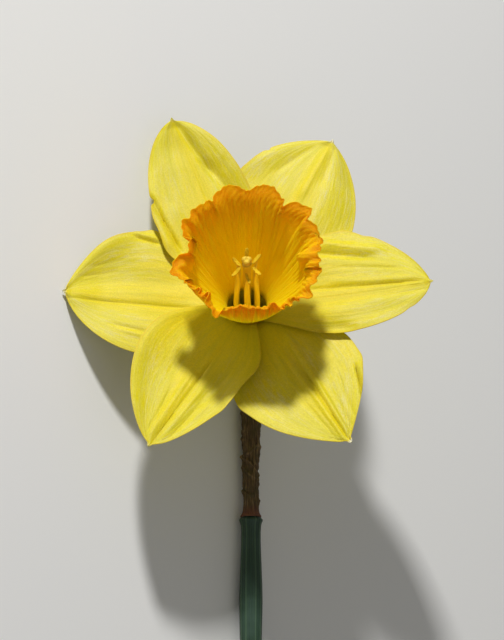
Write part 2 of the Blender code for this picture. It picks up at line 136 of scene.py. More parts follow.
# turn, length, greatest half widths left and right, where they lie along the length and how
# blunt the end is on each side. level: height of the base; cup: how far the sides bend.
# rims: side, how far the edge's strip is lifted forward, from where along and across.
# outline: side, place along the blade, extent, change of the half width.
# creases: along and across of both ends, width, depth (negative for a ridge).
BLADES = {
    "petal_upper_left": dict(
        turn=111.2, length=58.2, left=15.3, right=13.6, wide_at=0.38, blunt=(0.53, 0.56),
        level=-0.2, cup=1.0, rims=[(-1, 2.0, 0.40, 0.35), (1, -0.6, 0.6, 0.45)],
        outline=[(1, 0.60, 0.020, -1.1), (1, 0.50, 0.07, 0.5), (1, 0.29, 0.08, 1.2)],
        creases=[(58, -0.8, 41, -5.2, 1.2, 1.0), (44, -4.4, 28, -9.8, 1.5, 1.0),
                 (56, -3.0, 42, -8.0, 2.4, -0.5), (52, -2.2, 38, -4.6, 0.7, 0.3),
                 (38.5, 13.6, 21, 11.6, 0.65, 1.2), (36, 15.0, 22, 14.2, 1.3, -0.6),
                 (48, 4.0, 20, 2.0, 4.5, -0.8), (34, 9.0, 20, 8.0, 1.6, -0.4),
                 (61, -30, 61, 30, 9.0, -1.5)]),
    "petal_right": dict(
        turn=4.4, length=50.1, left=19.3, right=12.4, wide_at=0.44, blunt=(0.70, 0.60),
        level=-0.2, cup=0.6, rims=[(1, -1.3, 0.3, 0.35), (-1, 0.5, 0.3, 0.45)],
        outline=[(1, 0.50, 0.05, 0.5), (1, 0.62, 0.04, -0.5), (-1, 0.85, 0.03, -0.3)],
        creases=[(18, 13.6, 35, 10.0, 0.9, 0.8), (22, 15.8, 38, 12.0, 1.2, -0.7),
                 (46, 0.9, 14, 2.6, 0.42, 0.5), (46, 2.0, 24, 3.8, 0.8, -0.35),
                 (46, -3.0, 20, -6.0, 2.4, -0.7), (14, -9.5, 28, -11.0, 1.5, 0.7),
                 (50, -2.0, 36, -2.5, 0.5, 0.25), (44, 5.5, 26, 8.0, 0.5, 0.2)]),
    "petal_lower_left": dict(
        turn=240.5, length=51.8, left=13.2, right=19.3, wide_at=0.27, blunt=(0.73, 0.75),
        level=-0.2, cup=1.2, rims=[(-1, 1.2, 0.0, 0.45), (1, 0.4, 0.2, 0.45)],
        outline=[(1, 0.20, 0.08, 0.9), (1, 0.40, 0.08, -0.6), (1, 0.60, 0.05, 0.3)],
        creases=[(51, 0.0, 24, 0.9, 0.5, 0.5), (50, 1.6, 30, 3.2, 0.8, -0.5),
                 (50, -1.5, 28, -1.8, 0.8, -0.5), (48, -2.8, 34, -4.0, 0.4, 0.25),
                 (47, 3.4, 34, 5.2, 0.45, 0.35), (45, 5.0, 34, 7.2, 0.7, -0.3),
                 (34, 5.0, 22, 7.0, 1.2, 0.35), (30, -6.0, 12, -7.0, 2.2, 0.4)]),
    "sepal_upper_right": dict(
        turn=64.4, length=55.3, left=20.6, right=17.1, wide_at=0.43, blunt=(0.59, 0.71),
        level=-1.35, cup=-0.9, rims=[(1, 1.6, 0.50, 0.35), (-1, -2.0, 0.35, 0.30)],
        outline=[(1, 0.79, 0.010, -0.7), (1, 0.62, 0.04, 0.3)],
        creases=[(53, 0.2, 36, 0.8, 1.6, -0.6), (54, -1.6, 42, -3.0, 0.6, 0.22),
                 (53, 3.5, 40, 10.5, 0.9, 0.25), (42, -4.0, 24, -5.0, 3.0, -0.4),
                 (58, -30, 58, 30, 12.0, 1.6)]),
    "sepal_left": dict(
        turn=178.4, length=49.5, left=17.0, right=21.5, wide_at=0.45, blunt=(0.70, 0.71),
        level=-1.35, cup=-0.6, rims=[(-1, 2.4, 0.52, 0.30), (1, 0.6, 0.5, 0.45)],
        outline=[(-1, 0.48, 0.04, 0.4)],
        creases=[(47, -0.5, 14, -3.0, 2.6, -0.7), (48, 1.5, 12, 1.2, 0.5, 0.35),
                 (31.5, -19.0, 25, -17.4, 0.5, 0.8), (31.5, -20.3, 25, -18.7, 0.5, -0.5),
                 (44, -2.0, 10, -3.0, 8.0, 1.4),
                 (46, -5.4, 36, -8.4, 0.45, 0.16), (43, -8.6, 34, -11.8, 0.45, 0.16),
                 (36, 8.5, 20, 11.5, 0.6, 0.45), (34, 10.0, 20, 13.0, 0.8, -0.3)]),
    "sepal_lower_right": dict(
        turn=302.0, length=51.3, left=18.2, right=18.8, wide_at=0.39, blunt=(1.12, 0.92),
        level=-1.35, cup=-0.8, rims=[(1, 1.0, 0.4, 0.45), (-1, 0.5, 0.4, 0.45)],
        outline=[(1, 0.55, 0.05, 0.5), (-1, 0.45, 0.05, 0.4)],
        creases=[(51, 0.6, 14, 4.4, 0.6, -0.8), (50, -0.9, 20, 0.2, 0.45, -0.5),
                 (51, 0.0, 26, 2.0, 0.4, 0.5), (49, -2.4, 32, -3.4, 0.45, 0.3),
                 (48, 3.0, 30, 6.6, 0.4, 0.3), (46, 5.2, 32, 9.0, 0.45, 0.22),
                 (32.5, 14.2, 42, 10.2, 0.45, 1.0), (33, 15.4, 42, 11.6, 0.9, -0.5),
                 (28, -3.0, 14, -1.5, 1.0, -0.4)]),
}


def smooth(x):
    """Rises from 0 to 1 with level ends, as 3x² - 2x³."""
    x = np.clip(x, 0, 1)
    return x * x * (3 - 2 * x)


def bell(x):
    """A bell curve that is 1 in its middle: e to the power of -x²."""
    return np.exp(-x * x)


def blade_half_width(s, spec, side):
    """Half width along a blade: from the base it swells as a quarter sine to the widest
    place, then rounds off as (1 - t²) to the power of the bluntness, and the tip ends in a
    narrow horn."""
    widest = spec["left"] if side > 0 else spec["right"]
    blunt = spec["blunt"][0 if side > 0 else 1]
    swell = np.sin(math.pi / 2 * np.clip(s / spec["wide_at"], 0, 1))
    rising = BASE_HALF_WIDTH + (widest - BASE_HALF_WIDTH) * swell
    t = np.clip((s - spec["wide_at"]) / (1 - spec["wide_at"]), 0, 1)
    width = np.where(s < spec["wide_at"], rising, widest * (1 - t * t) ** blunt)
    past = np.clip((s - 1) * spec["length"] / TIP_HORN, 0, 1)
    horn = TIP_HORN_HALF_WIDTH * np.sqrt(1.02 - past) * smooth((s - 0.9) / 0.08)
    return (np.maximum(width, 0) ** 4 + horn ** 4) ** 0.25


def outline_change(s, spec, side):
    """Notches and bulges of one side's outline: small bells along the blade."""
    return sum(change * bell((s - place) / extent)
               for which, place, extent, change in spec["outline"] if which == side)


def crease(x, y, x0, y0, x1, y1, width, depth):
    """A groove between two places: a bell across the line, fading out at its ends."""
    run_x, run_y = x1 - x0, y1 - y0
    length = math.hypot(run_x, run_y)
    part = ((x - x0) * run_x + (y - y0) * run_y) / length ** 2
    away = ((x - x0) * run_y - (y - y0) * run_x) / length
    fade = smooth(part / 0.3 + 0.5) * smooth((1 - part) / 0.3 + 0.5)
    return -depth * bell(away / width) * fade


def blade_sheet(s, q, spec, seed):
    """Middle surface of a blade that points along +X. It starts on the arc of its seat, lies
    on a shallow cone, cups towards its edges, and carries its own creases, lifted rims, a
    slow swell of two crossed sines and fine lengthwise veins."""
    along = SEAT_RADIUS + (spec["length"] - SEAT_RADIUS) * s - 0.9 * (s <= 0)
    left = blade_half_width(s, spec, 1)
    right = blade_half_width(s, spec, -1)
    notched = np.where(q > 0, outline_change(s, spec, 1), outline_change(s, spec, -1))
    across = q * (np.where(q > 0, left, right) + notched * np.abs(q) ** 5)
    wrap = np.clip(1 - s, 0, 1) ** SEAT_FADE
    angle = across / SEAT_RADIUS
    x = along - SEAT_RADIUS * (1 - np.cos(angle)) * wrap
    y = across * (1 - wrap) + SEAT_RADIUS * np.sin(angle) * wrap
    z = spec["level"] + FACE_LIFT * (np.hypot(x, y) - SEAT_RADIUS) / (SPREAD - SEAT_RADIUS)
    z = z + spec["cup"] * q ** 2 * 4 * s * (1 - s)
    for side, lift, start, inner_line in spec["rims"]:
        strip = smooth((side * q - inner_line) / (1 - inner_line)) ** 1.5
        z = z + lift * strip * smooth((s - start) / 0.25) * smooth((1.02 - s) / 0.25)
    inner = smooth((s - 0.05) / 0.3)
    for line in spec["creases"]:
        z = z + crease(x, y, *line) * inner
    z = z + SWELL * np.sin(5.1 * s + 2.3 * q + seed) * np.sin(3.4 * q - 2.0 * s + 2 * seed) * inner
    z = z + EDGE_WAVE * np.sin(15 * s + 7 * q + 3 * seed) * np.abs(q) * inner
    veins = sum(np.cos(2 * math.pi * count * q + 2 * np.sin(3 * q + 1.7 * s + count))
                for count in VEINS) * (1 - np.abs(q) ** 6)
    z = z + VEIN_HEIGHT * veins * inner * smooth((1 - s) / 0.1)
    sink = 0.5 * (1 - smooth(s / 0.05))
    return np.stack([x, y, z - sink + TIP_LIFT * smooth((s - 0.96) / 0.05)], axis=-1)


def grid_normals(points, wraps):
    """Unit normals of a grid from the cross product of its two directions."""
    down = np.gradient(points, axis=0)
    if wraps:
        side = (np.roll(points, -1, axis=1) - np.roll(points, 1, axis=1)) / 2
    else:
        side = np.gradient(points, axis=1)
    normal = np.cross(down, side)
    size = np.linalg.norm(normal, axis=-1, keepdims=True)
    return normal / np.maximum(size, 1e-9)


def grid_faces(rows, columns, wraps, first, flip):
    """Quads between neighbouring rows and columns of a grid of points."""
    steps = columns if wraps else columns - 1
    row, column = np.meshgrid(np.arange(rows - 1), np.arange(steps), indexing="ij")
    beside = (column + 1) % columns
    quad = np.stack([row * columns + column, (row + 1) * columns + column,
                     (row + 1) * columns + beside, row * columns + beside], axis=-1)
    quad = quad.reshape(-1, 4) + first
    return quad[:, ::-1] if flip else quad


def shell(sheet, thickness, wraps=False):
    """A closed skin round a sheet: its front and back lie half the thickness out along the
    normals, and a strip closes them along every open edge."""
    rows, columns = sheet.shape[:2]
    offset = grid_normals(sheet, wraps) * (thickness / 2)[..., None]
    points = np.concatenate([(sheet + offset).reshape(-1, 3), (sheet - offset).reshape(-1, 3)])
    count = rows * columns
    faces = [grid_faces(rows, columns, wraps, 0, False),
             grid_faces(rows, columns, wraps, count, True)]
    index = np.arange(count).reshape(rows, columns)
    if wraps:
        loops = [np.append(index[0], index[0, 0]), np.append(index[-1], index[-1, 0])[::-1]]
    else:
        loops = [np.concatenate([index[0, :-1], index[:-1, -1], index[-1, :0:-1],
                                 index[:0:-1, 0], index[0, :1]])]
    for loop in loops:
        start, end = loop[:-1], loop[1:]
        faces.append(np.stack([start, end, end + count, start + count], axis=-1))
    return points, np.concatenate(faces)


def piece(name, points, faces, caps=(), **attributes):
    """One smooth-shaded piece in the row's frame, with any attributes its material reads."""
    mesh = bpy.data.meshes.new(name)
    quads = faces.tolist() + [cap.tolist() for cap in caps]
    mesh.from_pydata(placed(points).tolist(), [], quads)
    outward = bmesh.new()
    outward.from_mesh(mesh)
    bmesh.ops.recalc_face_normals(outward, faces=outward.faces)
    outward.to_mesh(mesh)
    outward.free()
    mesh.shade_smooth()
    for label, values in attributes.items():
        kind, key = ("FLOAT_VECTOR", "vector") if np.ndim(values) == 2 else ("FLOAT", "value")
        layer = mesh.attributes.new(label, kind, "POINT")
        layer.data.foreach_set(key, np.asarray(values, dtype=np.float32).ravel())
    item = bpy.data.objects.new(name, mesh)
    bpy.context.collection.objects.link(item)
    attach(item, "root")
    return item


def linear(hex_colour):
    """An sRGB hex colour as linear red, green, blue and alpha."""
    parts = [int(hex_colour[i:i + 2], 16) / 255 for i in (1, 3, 5)]
    return tuple(p / 12.92 if p <= 0.04045 else ((p + 0.055) / 1.055) ** 2.4
                 for p in parts) + (1.0,)


def add(tree, kind, sockets=None, stops=None, **settings):
    """Adds a node: its properties, its sockets' values or links, and a ramp's stops."""
    item = tree.nodes.new(kind)
    for key, value in settings.items():
        setattr(item, key, value)
    for key, value in (sockets or {}).items():
        if isinstance(value, bpy.types.NodeSocket):
            tree.links.new(value, item.inputs[key])
        else:
            item.inputs[key].default_value = value
    if stops:
        ramp = item.color_ramp
        ramp.elements[0].position, ramp.elements[0].color = stops[0]
        ramp.elements[1].position, ramp.elements[1].color = stops[-1]
        for position, colour in stops[1:-1]:
            ramp.elements.new(position).color = colour
    return item


def grey(value):
    """A grey of this brightness, with full alpha."""
    return (value, value, value, 1.0)


def new_material(name, **surface):
    """A material with one Principled shader, whose plain sockets are set here."""
    material = bpy.data.materials.new(name)
    material.use_nodes = True
    shader = material.node_tree.nodes["Principled BSDF"]
    for key, value in surface.items():
        shader.inputs[key.replace("_", " ").title().replace("Ior", "IOR")].default_value = value
    return material, material.node_tree, shader


def painted(tree, shader, ground, layers):
    """Base colour: a ground and the layers over it. Each layer is a share and a colour, and
    covers what is under it by its share."""
    for share, tint in layers:
        tint = linear(tint) if isinstance(tint, str) else tint
        ground = add(tree, "ShaderNodeMix", {"Factor": share, "A": ground, "B": tint},
                     data_type="RGBA").outputs["Result"]
    tree.links.new(ground, shader.inputs["Base Color"])


def finished(tree, shader, pattern, rough, relief, strength, distance):
    """A pattern moves the roughness between two values, and a relief makes the bump."""
    satin = add(tree, "ShaderNodeMapRange", {"Value": pattern, "To Min": rough[0],
                                            "To Max": rough[1]})
    tree.links.new(satin.outputs[0], shader.inputs["Roughness"])
    bump = add(tree, "ShaderNodeBump", {"Height": relief, "Strength": strength,
                                       "Distance": distance})
    tree.links.new(bump.outputs[0], shader.inputs["Normal"])


def blade_material(name, body, pale, rich, back_tint, horn_tint):
    """Living petal tissue, grown in parallel veins: a satin yellow with fine pale lengthwise
    streaks, a richer midrib and base, a thin warm edge and a faint glitter of its cells."""
    material, tree, shader = new_material(
        name, subsurface_weight=0.22, subsurface_radius=(1.0, 0.8, 0.12),
        subsurface_scale=0.0009, ior=1.42, specular_ior_level=0.35)
    grain = add(tree, "ShaderNodeAttribute", attribute_name="grain").outputs["Vector"]
    sheet = add(tree, "ShaderNodeAttribute", attribute_name="sheet").outputs["Vector"]
    parts = add(tree, "ShaderNodeSeparateXYZ", {"Vector": sheet})
    side, along, edge = parts.outputs
    # Short streaks about 0.5 mm apart, between the blade's veins.
    long_grain = add(tree, "ShaderNodeMapping", {"Vector": grain, "Scale": (1.9, 0.26, 1.0)})
    streak = add(tree, "ShaderNodeTexNoise", {"Vector": long_grain.outputs[0], "Scale": 1.0,
                                             "Detail": 4.0, "Roughness": 0.7,
                                             "Distortion": 0.5})
    broad_grain = add(tree, "ShaderNodeMapping", {"Vector": grain, "Scale": (0.32, 0.045, 1.0)})
    broad = add(tree, "ShaderNodeTexNoise", {"Vector": broad_grain.outputs[0], "Scale": 1.0,
                                            "Detail": 2.0})
    streaks = add(tree, "ShaderNodeValToRGB", {"Fac": streak.outputs["Fac"]},
                  stops=[(0.40, grey(0.0)), (0.66, grey(1.0))])
    patches = add(tree, "ShaderNodeValToRGB", {"Fac": broad.outputs["Fac"]},
                  stops=[(0.35, grey(0.25)), (0.65, grey(1.0))])
    pale_share = add(tree, "ShaderNodeMath", {0: streaks.outputs[0], 1: patches.outputs[0]},
                     operation="MULTIPLY")
    # Less pale near the midrib and the base.
    middle_band = add(tree, "ShaderNodeMath", {0: side, 1: side}, operation="MULTIPLY")
    off_middle = add(tree, "ShaderNodeMapRange", {"Value": middle_band.outputs[0],
                                                 "From Min": 0.0, "From Max": 0.10,
                                                 "To Min": 0.25, "To Max": 1.0})
    off_base = add(tree, "ShaderNodeMapRange", {"Value": along, "From Min": 0.15,
                                               "From Max": 0.65, "To Min": 0.1, "To Max": 1.0})
    place_share = add(tree, "ShaderNodeMath", {0: off_middle.outputs[0],
                                              1: off_base.outputs[0]}, operation="MULTIPLY")
    pale_share = add(tree, "ShaderNodeMath", {0: pale_share.outputs[0],
                                             1: place_share.outputs[0]}, operation="MULTIPLY")
    # Some strips are greener, up to half of the way at the darkest.
    green_grain = add(tree, "ShaderNodeMapping", {"Vector": grain, "Location": (31.0, 7.0, 3.0),
                                                 "Scale": (0.42, 0.05, 1.0)})
    green = add(tree, "ShaderNodeTexNoise", {"Vector": green_grain.outputs[0], "Scale": 1.0,
                                            "Detail": 3.0, "Roughness": 0.65})
    green_share = add(tree, "ShaderNodeMapRange", {"Value": green.outputs["Fac"],
                                                  "From Min": 0.42, "From Max": 0.70,
                                                  "To Min": 0.0, "To Max": 0.5})
    speck = add(tree, "ShaderNodeTexNoise", {"Vector": grain, "Scale": 2.4, "Detail": 2.0})
    speckle = add(tree, "ShaderNodeMapRange", {"Value": speck.outputs["Fac"], "From Min": 0.35,
                                              "From Max": 0.65, "To Min": 0.0, "To Max": 0.48})
    rim = add(tree, "ShaderNodeMapRange", {"Value": edge, "From Min": 0.15, "From Max": 0.7,
                                          "To Min": 0.4, "To Max": 0.0})
    behind = add(tree, "ShaderNodeAttribute", attribute_name="behind").outputs["Fac"]
    horn = add(tree, "ShaderNodeMapRange", {"Value": along, "From Min": 0.992,
                                           "From Max": 1.008, "To Min": 0.0, "To Max": 0.9})
    painted(tree, shader, linear(rich), [
        (place_share.outputs[0], body), (pale_share.outputs[0], pale),
        (green_share.outputs[0], "#C8C21A"), (speckle.outputs[0], "#C6B81A"),
        (rim.outputs[0], "#D8B020"), (behind, back_tint), (horn.outputs[0], horn_tint)])
    cells = add(tree, "ShaderNodeTexNoise", {"Vector": grain, "Scale": 5.0, "Detail": 2.0})
    relief = add(tree, "ShaderNodeMix", {"Factor": 0.3, "A": streak.outputs["Fac"],
                                        "B": cells.outputs["Fac"]})
    finished(tree, shader, streak.outputs["Fac"], (0.36, 0.62), relief.outputs["Result"],
             0.55, 0.00022)
    return material


PETAL = blade_material("petal_tissue", "#E2D412", "#E0D88C", "#E8D202", "#CFC644",
                       "#E4D878")
SEPAL = blade_material("sepal_tissue", "#E6D81C", "#E4DC98", "#EAD404", "#C6C24C",
                       "#F4EFD0")


def build_blade(name, spec, seed):
    """A blade's closed skin, turned to its place round the axis, with its attributes."""
    horn = TIP_HORN / (spec["length"] - SEAT_RADIUS)
    step = np.linspace(0, 1, BLADE_ROWS)
    s = np.concatenate([1 - (1 - step) ** 1.45, 1 + horn * np.linspace(0, 1, 9)[1:]])[:, None]
    x = np.linspace(-1, 1, BLADE_COLUMNS + 1)
    q = (0.55 * x + 0.45 * np.sin(math.pi / 2 * x))[None, :]
    sheet = blade_sheet(s, q, spec, seed)
    left = blade_half_width(s, spec, 1)
    right = blade_half_width(s, spec, -1)
    half = np.where(q > 0, left, right)
    edge = np.minimum((1 - np.abs(q)) * half, (s[-1] - s) * spec["length"])
    thickness = BLADE_EDGE + (BLADE_THICKNESS - BLADE_EDGE) * smooth(edge / EDGE_TAPER)
    thickness = thickness + (MIDRIB_HEIGHT * bell(q / 0.08) * smooth((s - 0.1) / 0.2)
                             * smooth((1 - s) / 0.1))
    points, faces = shell(sheet, thickness)
    angle = math.radians(spec["turn"])
    spin = np.array([[math.cos(angle), math.sin(angle), 0],
                     [-math.sin(angle), math.cos(angle), 0], [0, 0, 1]])
    full = np.broadcast_to
    shape = sheet.shape[:2]
    widest = max(spec["left"], spec["right"])
    grain = np.stack([full(q * widest, shape) + 40 * seed, full(s * spec["length"], shape),
                      full(np.array(7.0 * seed), shape)], axis=-1).reshape(-1, 3)
    place = np.stack([full(q, shape), full(s, shape), edge], axis=-1).reshape(-1, 3)
    near_base = 1 - smooth((full(s, shape).ravel() - 0.02) / 0.6)
    rib = bell(full(q, shape).ravel() / 0.16)
    behind = 0.25 + 0.75 * np.maximum(near_base * 0.8, rib * near_base ** 0.5)
    behind = np.concatenate([np.zeros(behind.size), np.clip(behind, 0, 1)])
    item = piece(f"{name}_blade", points @ spin, faces, grain=np.tile(grain, (2, 1)),
                 sheet=np.tile(place, (2, 1)), behind=behind)
    outer = name.startswith("sepal")
    item.data.materials.append(SEPAL if outer else PETAL)
    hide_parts(name)


for number, (blade_name, blade_spec) in enumerate(BLADES.items()):
    build_blade(blade_name, blade_spec, 1.0 + 0.7 * number)


# Trumpet: one flared tube of thin orange tissue, grown on the same ring as the petals. Its
# wall is pleated, and its rim stands in folded lobes with a tight, crinkled frill.
TRUMPET_PROFILE = [(5.65, -1.9), (5.75, 0.2), (6.9, 2.6), (9.3, 7.0), (12.8, 14.0),
                   (15.8, 20.5), (18.0, 25.0), (20.3, 28.0)]
TRUMPET_ROWS = 84
TRUMPET_SIDES = 576
WALL_THICKNESS = 0.5
RIM_THICKNESS = 0.22
# Distance of the rim from the axis, round the trumpet in degrees from +X.
RIM = [(3, 20.0), (9, 20.0), (16, 19.7), (27, 21.5), (34, 20.1), (44, 21.8), (50, 21.4),
       (56, 18.8), (62, 19.1), (72, 22.1), (79, 22.3), (90, 19.9), (97, 20.8), (104, 22.1),
       (112, 21.1), (118, 18.8), (124, 19.4), (137, 20.5), (143, 19.0), (147, 19.5),
       (157, 17.6), (163, 14.6), (172, 15.6), (178, 15.8), (182, 17.8), (186, 19.8),
       (192, 20.6), (198, 19.6), (204, 17.2), (211, 17.7), (216, 16.2), (225, 17.1), (229, 16.6),
       (237, 18.2), (245, 19.6), (250, 17.2), (257, 16.5), (264, 15.5), (272, 15.7),
       (286, 16.5), (294, 16.7), (302, 19.0), (310, 18.7), (316, 18.5), (325, 20.2),
       (332, 19.7), (342, 20.7), (349, 18.5), (355, 19.1)]
# Depth of the rim's frill, and how far the rim rolls back, round the trumpet.
FRILL = [(0, 0.40), (15, 0.25), (40, 0.22), (60, 0.18), (80, 0.10), (100, 0.10), (120, 0.16),
         (140, 0.25), (160, 0.35), (180, 0.14), (198, 0.14), (208, 0.55), (235, 0.62), (248, 0.5),
         (258, 0.25), (270, 0.16), (282, 0.22), (295, 0.5), (310, 0.6), (325, 0.5), (340, 0.45)]
ROLL = [(15, 2.6), (35, 1.6), (50, 1.0), (77, 0.9), (92, 0.7), (106, 0.9), (135, 0.9),
        (160, 0.5), (172, 0.4), (192, 2.6), (210, 1.2), (235, 0.8), (270, 1.7), (300, 0.8),
        (335, 1.4), (355, 1.0)]
# Places where two lobes lean together: angle, extent in degrees, how far in millimetres.
PINCHES = [(163, 9, 1.3), (179, 6, 1.0), (350, 7, 1.4), (90, 10, 0.4), (205, 6, 0.9),
           (59, 7, 0.8), (36, 6, 0.7), (119, 6, 0.5), (249, 4, 0.4), (316, 6, 0.5)]
# Folds that run down the wall: angle, extent in degrees, depth outwards, where they start.
PLEATS = [(63, 4.0, 0.5, 0.45), (55, 3.0, -0.7, 0.4), (40, 4.0, 0.9, 0.45),
          (30, 3.5, -0.9, 0.4), (15, 4.0, 0.9, 0.5), (3, 4.0, -1.0, 0.55), (352, 4.0, 0.9, 0.5),
          (338, 5.0, -0.7, 0.5), (322, 4.0, 0.7, 0.5), (310, 4.0, -0.6, 0.55),
          (240, 4.0, 0.5, 0.55), (228, 4.0, -0.6, 0.5), (212, 5.0, 0.7, 0.5),
          (199, 4.0, -0.7, 0.5), (150, 4.0, 0.8, 0.4), (136, 4.0, -0.7, 0.4),
          (121, 3.5, 0.6, 0.45), (98, 2.5, 0.25, 0.6), (84, 2.5, -0.25, 0.6)]
# Rounded dents in the wall below the rim: angle and its extent, height and its extent, depth.
DENTS = [(6, 7.0, 0.81, 0.10, -3.2), (17, 5.0, 0.90, 0.08, 1.0), (350, 5.0, 0.86, 0.08, -1.4),
         (182, 6.0, 0.84, 0.10, -1.9), (43, 5.0, 0.80, 0.12, 0.8), (128, 7.0, 0.78, 0.12, 0.7),
         (20, 5.0, 0.86, 0.07, 0.9)]
RIPPLE = 0.17                # height of the fine waves round the wall
CRINKLE = 0.20               # height of the crumpled texture near the rim


def through(knots, place):
    """A smooth curve through evenly numbered points, read at the given places (Catmull-Rom)."""
    knots = np.asarray(knots, float)
    padded = np.vstack([2 * knots[0] - knots[1], knots, 2 * knots[-1] - knots[-2]])
    span = np.clip(np.floor(place).astype(int), 0, len(knots) - 2)
    t = (place - span)[..., None]
    a, b, c, d = (padded[span + shift] for shift in range(4))
    return 0.5 * (2 * b + (c - a) * t + (2 * a - 5 * b + 4 * c - d) * t ** 2
                  + (3 * b - a - 3 * c + d) * t ** 3)


def around(table, theta):
    """Values given at angles in degrees, eased between neighbours all the way round."""
    angle, value = np.array(sorted(table), float).T
    angle = np.append(angle, angle[0] + 360)
    value = np.append(value, value[0])
    degrees = (np.degrees(theta) - angle[0]) % 360 + angle[0]
    span = np.clip(np.searchsorted(angle, degrees, side="right") - 1, 0, len(angle) - 2)
    part = (degrees - angle[span]) / (angle[span + 1] - angle[span])
    return value[span] + (value[span + 1] - value[span]) * smooth(part)


def turn_from(theta, degrees):
    """Signed angle in degrees from a direction, between -180 and 180."""
    return (np.degrees(theta) - degrees + 180) % 360 - 180


def trumpet_sheet(h, theta):
    """Middle surface of the trumpet. The profile is turned round the axis; towards the rim
    the radius goes over to the rim's own outline and rolls back. Pleats are bells across the
    wall, dents bells both ways, and pinches shift neighbouring lobes together. The frill is
    a wave that meanders: a sine outwards with a double sine sideways, which folds over
    itself; crossed sines add the crinkle."""
    radius, height = np.moveaxis(through(TRUMPET_PROFILE, h * (len(TRUMPET_PROFILE) - 1)), -1, 0)
    flare = smooth((h - 0.55) / 0.45) ** 1.3
    change = around(RIM, theta) - TRUMPET_PROFILE[-1][0]
    radius = radius + change * flare
    roll = around(ROLL, theta) * smooth((h - 0.8) / 0.2) ** 2
    height = height - 0.1 * change * flare - roll
    sideways = np.zeros(np.broadcast(h, theta).shape)
    for degrees, extent, depth, start in PLEATS:
        rise = smooth((h - start) / (1 - start))
        radius = radius + depth * bell(turn_from(theta, degrees) / extent) * rise
    for degrees, extent, place, reach, depth in DENTS:
        radius = radius + depth * bell(turn_from(theta, degrees) / extent) * bell(
            (h - place) / reach)
    for degrees, extent, shift in PINCHES:
        away = turn_from(theta, degrees) / extent
        sideways = sideways - 2.3 * shift * away * bell(away) * flare ** 1.5
    tall = around(FRILL, theta) * smooth((h - 0.8) / 0.2) ** 1.4
    phase = 37 * theta + 2.6 * np.sin(3 * theta + 1.0) + 1.7 * np.sin(7 * theta + 0.4)
    radius = radius + tall * np.sin(phase)
    sideways = sideways - 0.36 * tall * np.sin(2 * phase)
    height = height + 0.7 * tall * np.cos(phase + 0.6 + np.sin(4 * theta))
    ripple = RIPPLE * smooth((h - 0.35) / 0.4) * (1 - 0.6 * smooth((h - 0.85) / 0.15))
    radius = radius + ripple * np.sin(53 * theta + 3 * np.sin(5 * theta) + 4 * h)
    radius = radius + 0.6 * ripple * np.sin(84 * theta + 5 * np.sin(4 * theta) - 3 * h)
    crinkle = CRINKLE * smooth((h - 0.66) / 0.2)
    radius = radius + crinkle * np.sin(67 * theta + 31 * h + 2 * np.sin(9 * theta)) * np.sin(
        45 * h + 23 * theta)
    height = height + 0.45 * flare * np.sin(11 * theta + 0.8)
    spin = theta + sideways / np.maximum(radius, 1)
    return np.stack([radius * np.cos(spin), radius * np.sin(spin), height], axis=-1)


def trumpet_material():
    """Living trumpet tissue: deep orange in the frill, golden down the wall and olive in the
    throat, with fine lengthwise veins; thin enough to glow where light falls through it. A deeper
    orange
    is painted where the wall bulges out: painted shade in the hollows of the pleats."""
    material, tree, shader = new_material(
        "trumpet_tissue", subsurface_weight=0.92, subsurface_radius=(1.0, 0.75, 0.02),
        subsurface_scale=0.0017, ior=1.42, specular_ior_level=0.1)
    grain = add(tree, "ShaderNodeAttribute", attribute_name="grain").outputs["Vector"]
    wall = add(tree, "ShaderNodeAttribute", attribute_name="wall").outputs["Vector"]
    parts = add(tree, "ShaderNodeSeparateXYZ", {"Vector": wall})
    height, painted_pleat_shade, outside = parts.outputs
    vein_grain = add(tree, "ShaderNodeMapping", {"Vector": grain, "Scale": (1.7, 1.7, 0.13)})
    vein = add(tree, "ShaderNodeTexNoise", {"Vector": vein_grain.outputs[0], "Scale": 1.0,
                                           "Detail": 3.0})
    uneven = add(tree, "ShaderNodeMapRange", {"Value": vein.outputs["Fac"], "To Min": -0.11,
                                             "To Max": 0.11})
    reach_up = add(tree, "ShaderNodeMath", {0: height, 1: uneven.outputs[0]}, operation="ADD")
    tone = add(tree, "ShaderNodeValToRGB", {"Fac": reach_up.outputs[0]},
               stops=[(0.02, linear("#9A8C0E")), (0.14, linear("#E0CA10")),
                      (0.34, linear("#FFEE10")), (0.60, linear("#FCE00A")),
                      (0.76, linear("#F0A603")), (0.94, linear("#E88200"))])
    streaks = add(tree, "ShaderNodeMapRange", {"Value": vein.outputs["Fac"], "From Min": 0.45,
                                              "From Max": 0.7, "To Min": 0.0, "To Max": 0.4})
    # The pleat share lays a deeper orange over the bulging lobes: painted shade in the pleats'
    # hollows.
    painted(tree, shader, tone.outputs[0],
            [(streaks.outputs[0], "#F2B404"), (outside, "#F2C40C"), (painted_pleat_shade, "#E88E02")])
    cells = add(tree, "ShaderNodeTexNoise", {"Vector": grain, "Scale": 4.0, "Detail": 2.0})
    relief = add(tree, "ShaderNodeMix", {"Factor": 0.3, "A": vein.outputs["Fac"],
                                        "B": cells.outputs["Fac"]})
    finished(tree, shader, vein.outputs["Fac"], (0.5, 0.75), relief.outputs["Result"],
             0.8, 0.0007)
    return material


def ring_angles(sides):
    """Angles of points spaced evenly round a full turn."""
    return np.arange(sides) * 2 * math.pi / sides


def tube_grain(radius, theta, along):
    """Places for the grain of a tube's skin: round a circle of this radius, and along it."""
    places = np.broadcast_arrays(radius * np.cos(theta), radius * np.sin(theta), along)
    return np.stack(places, axis=-1).reshape(-1, 3)


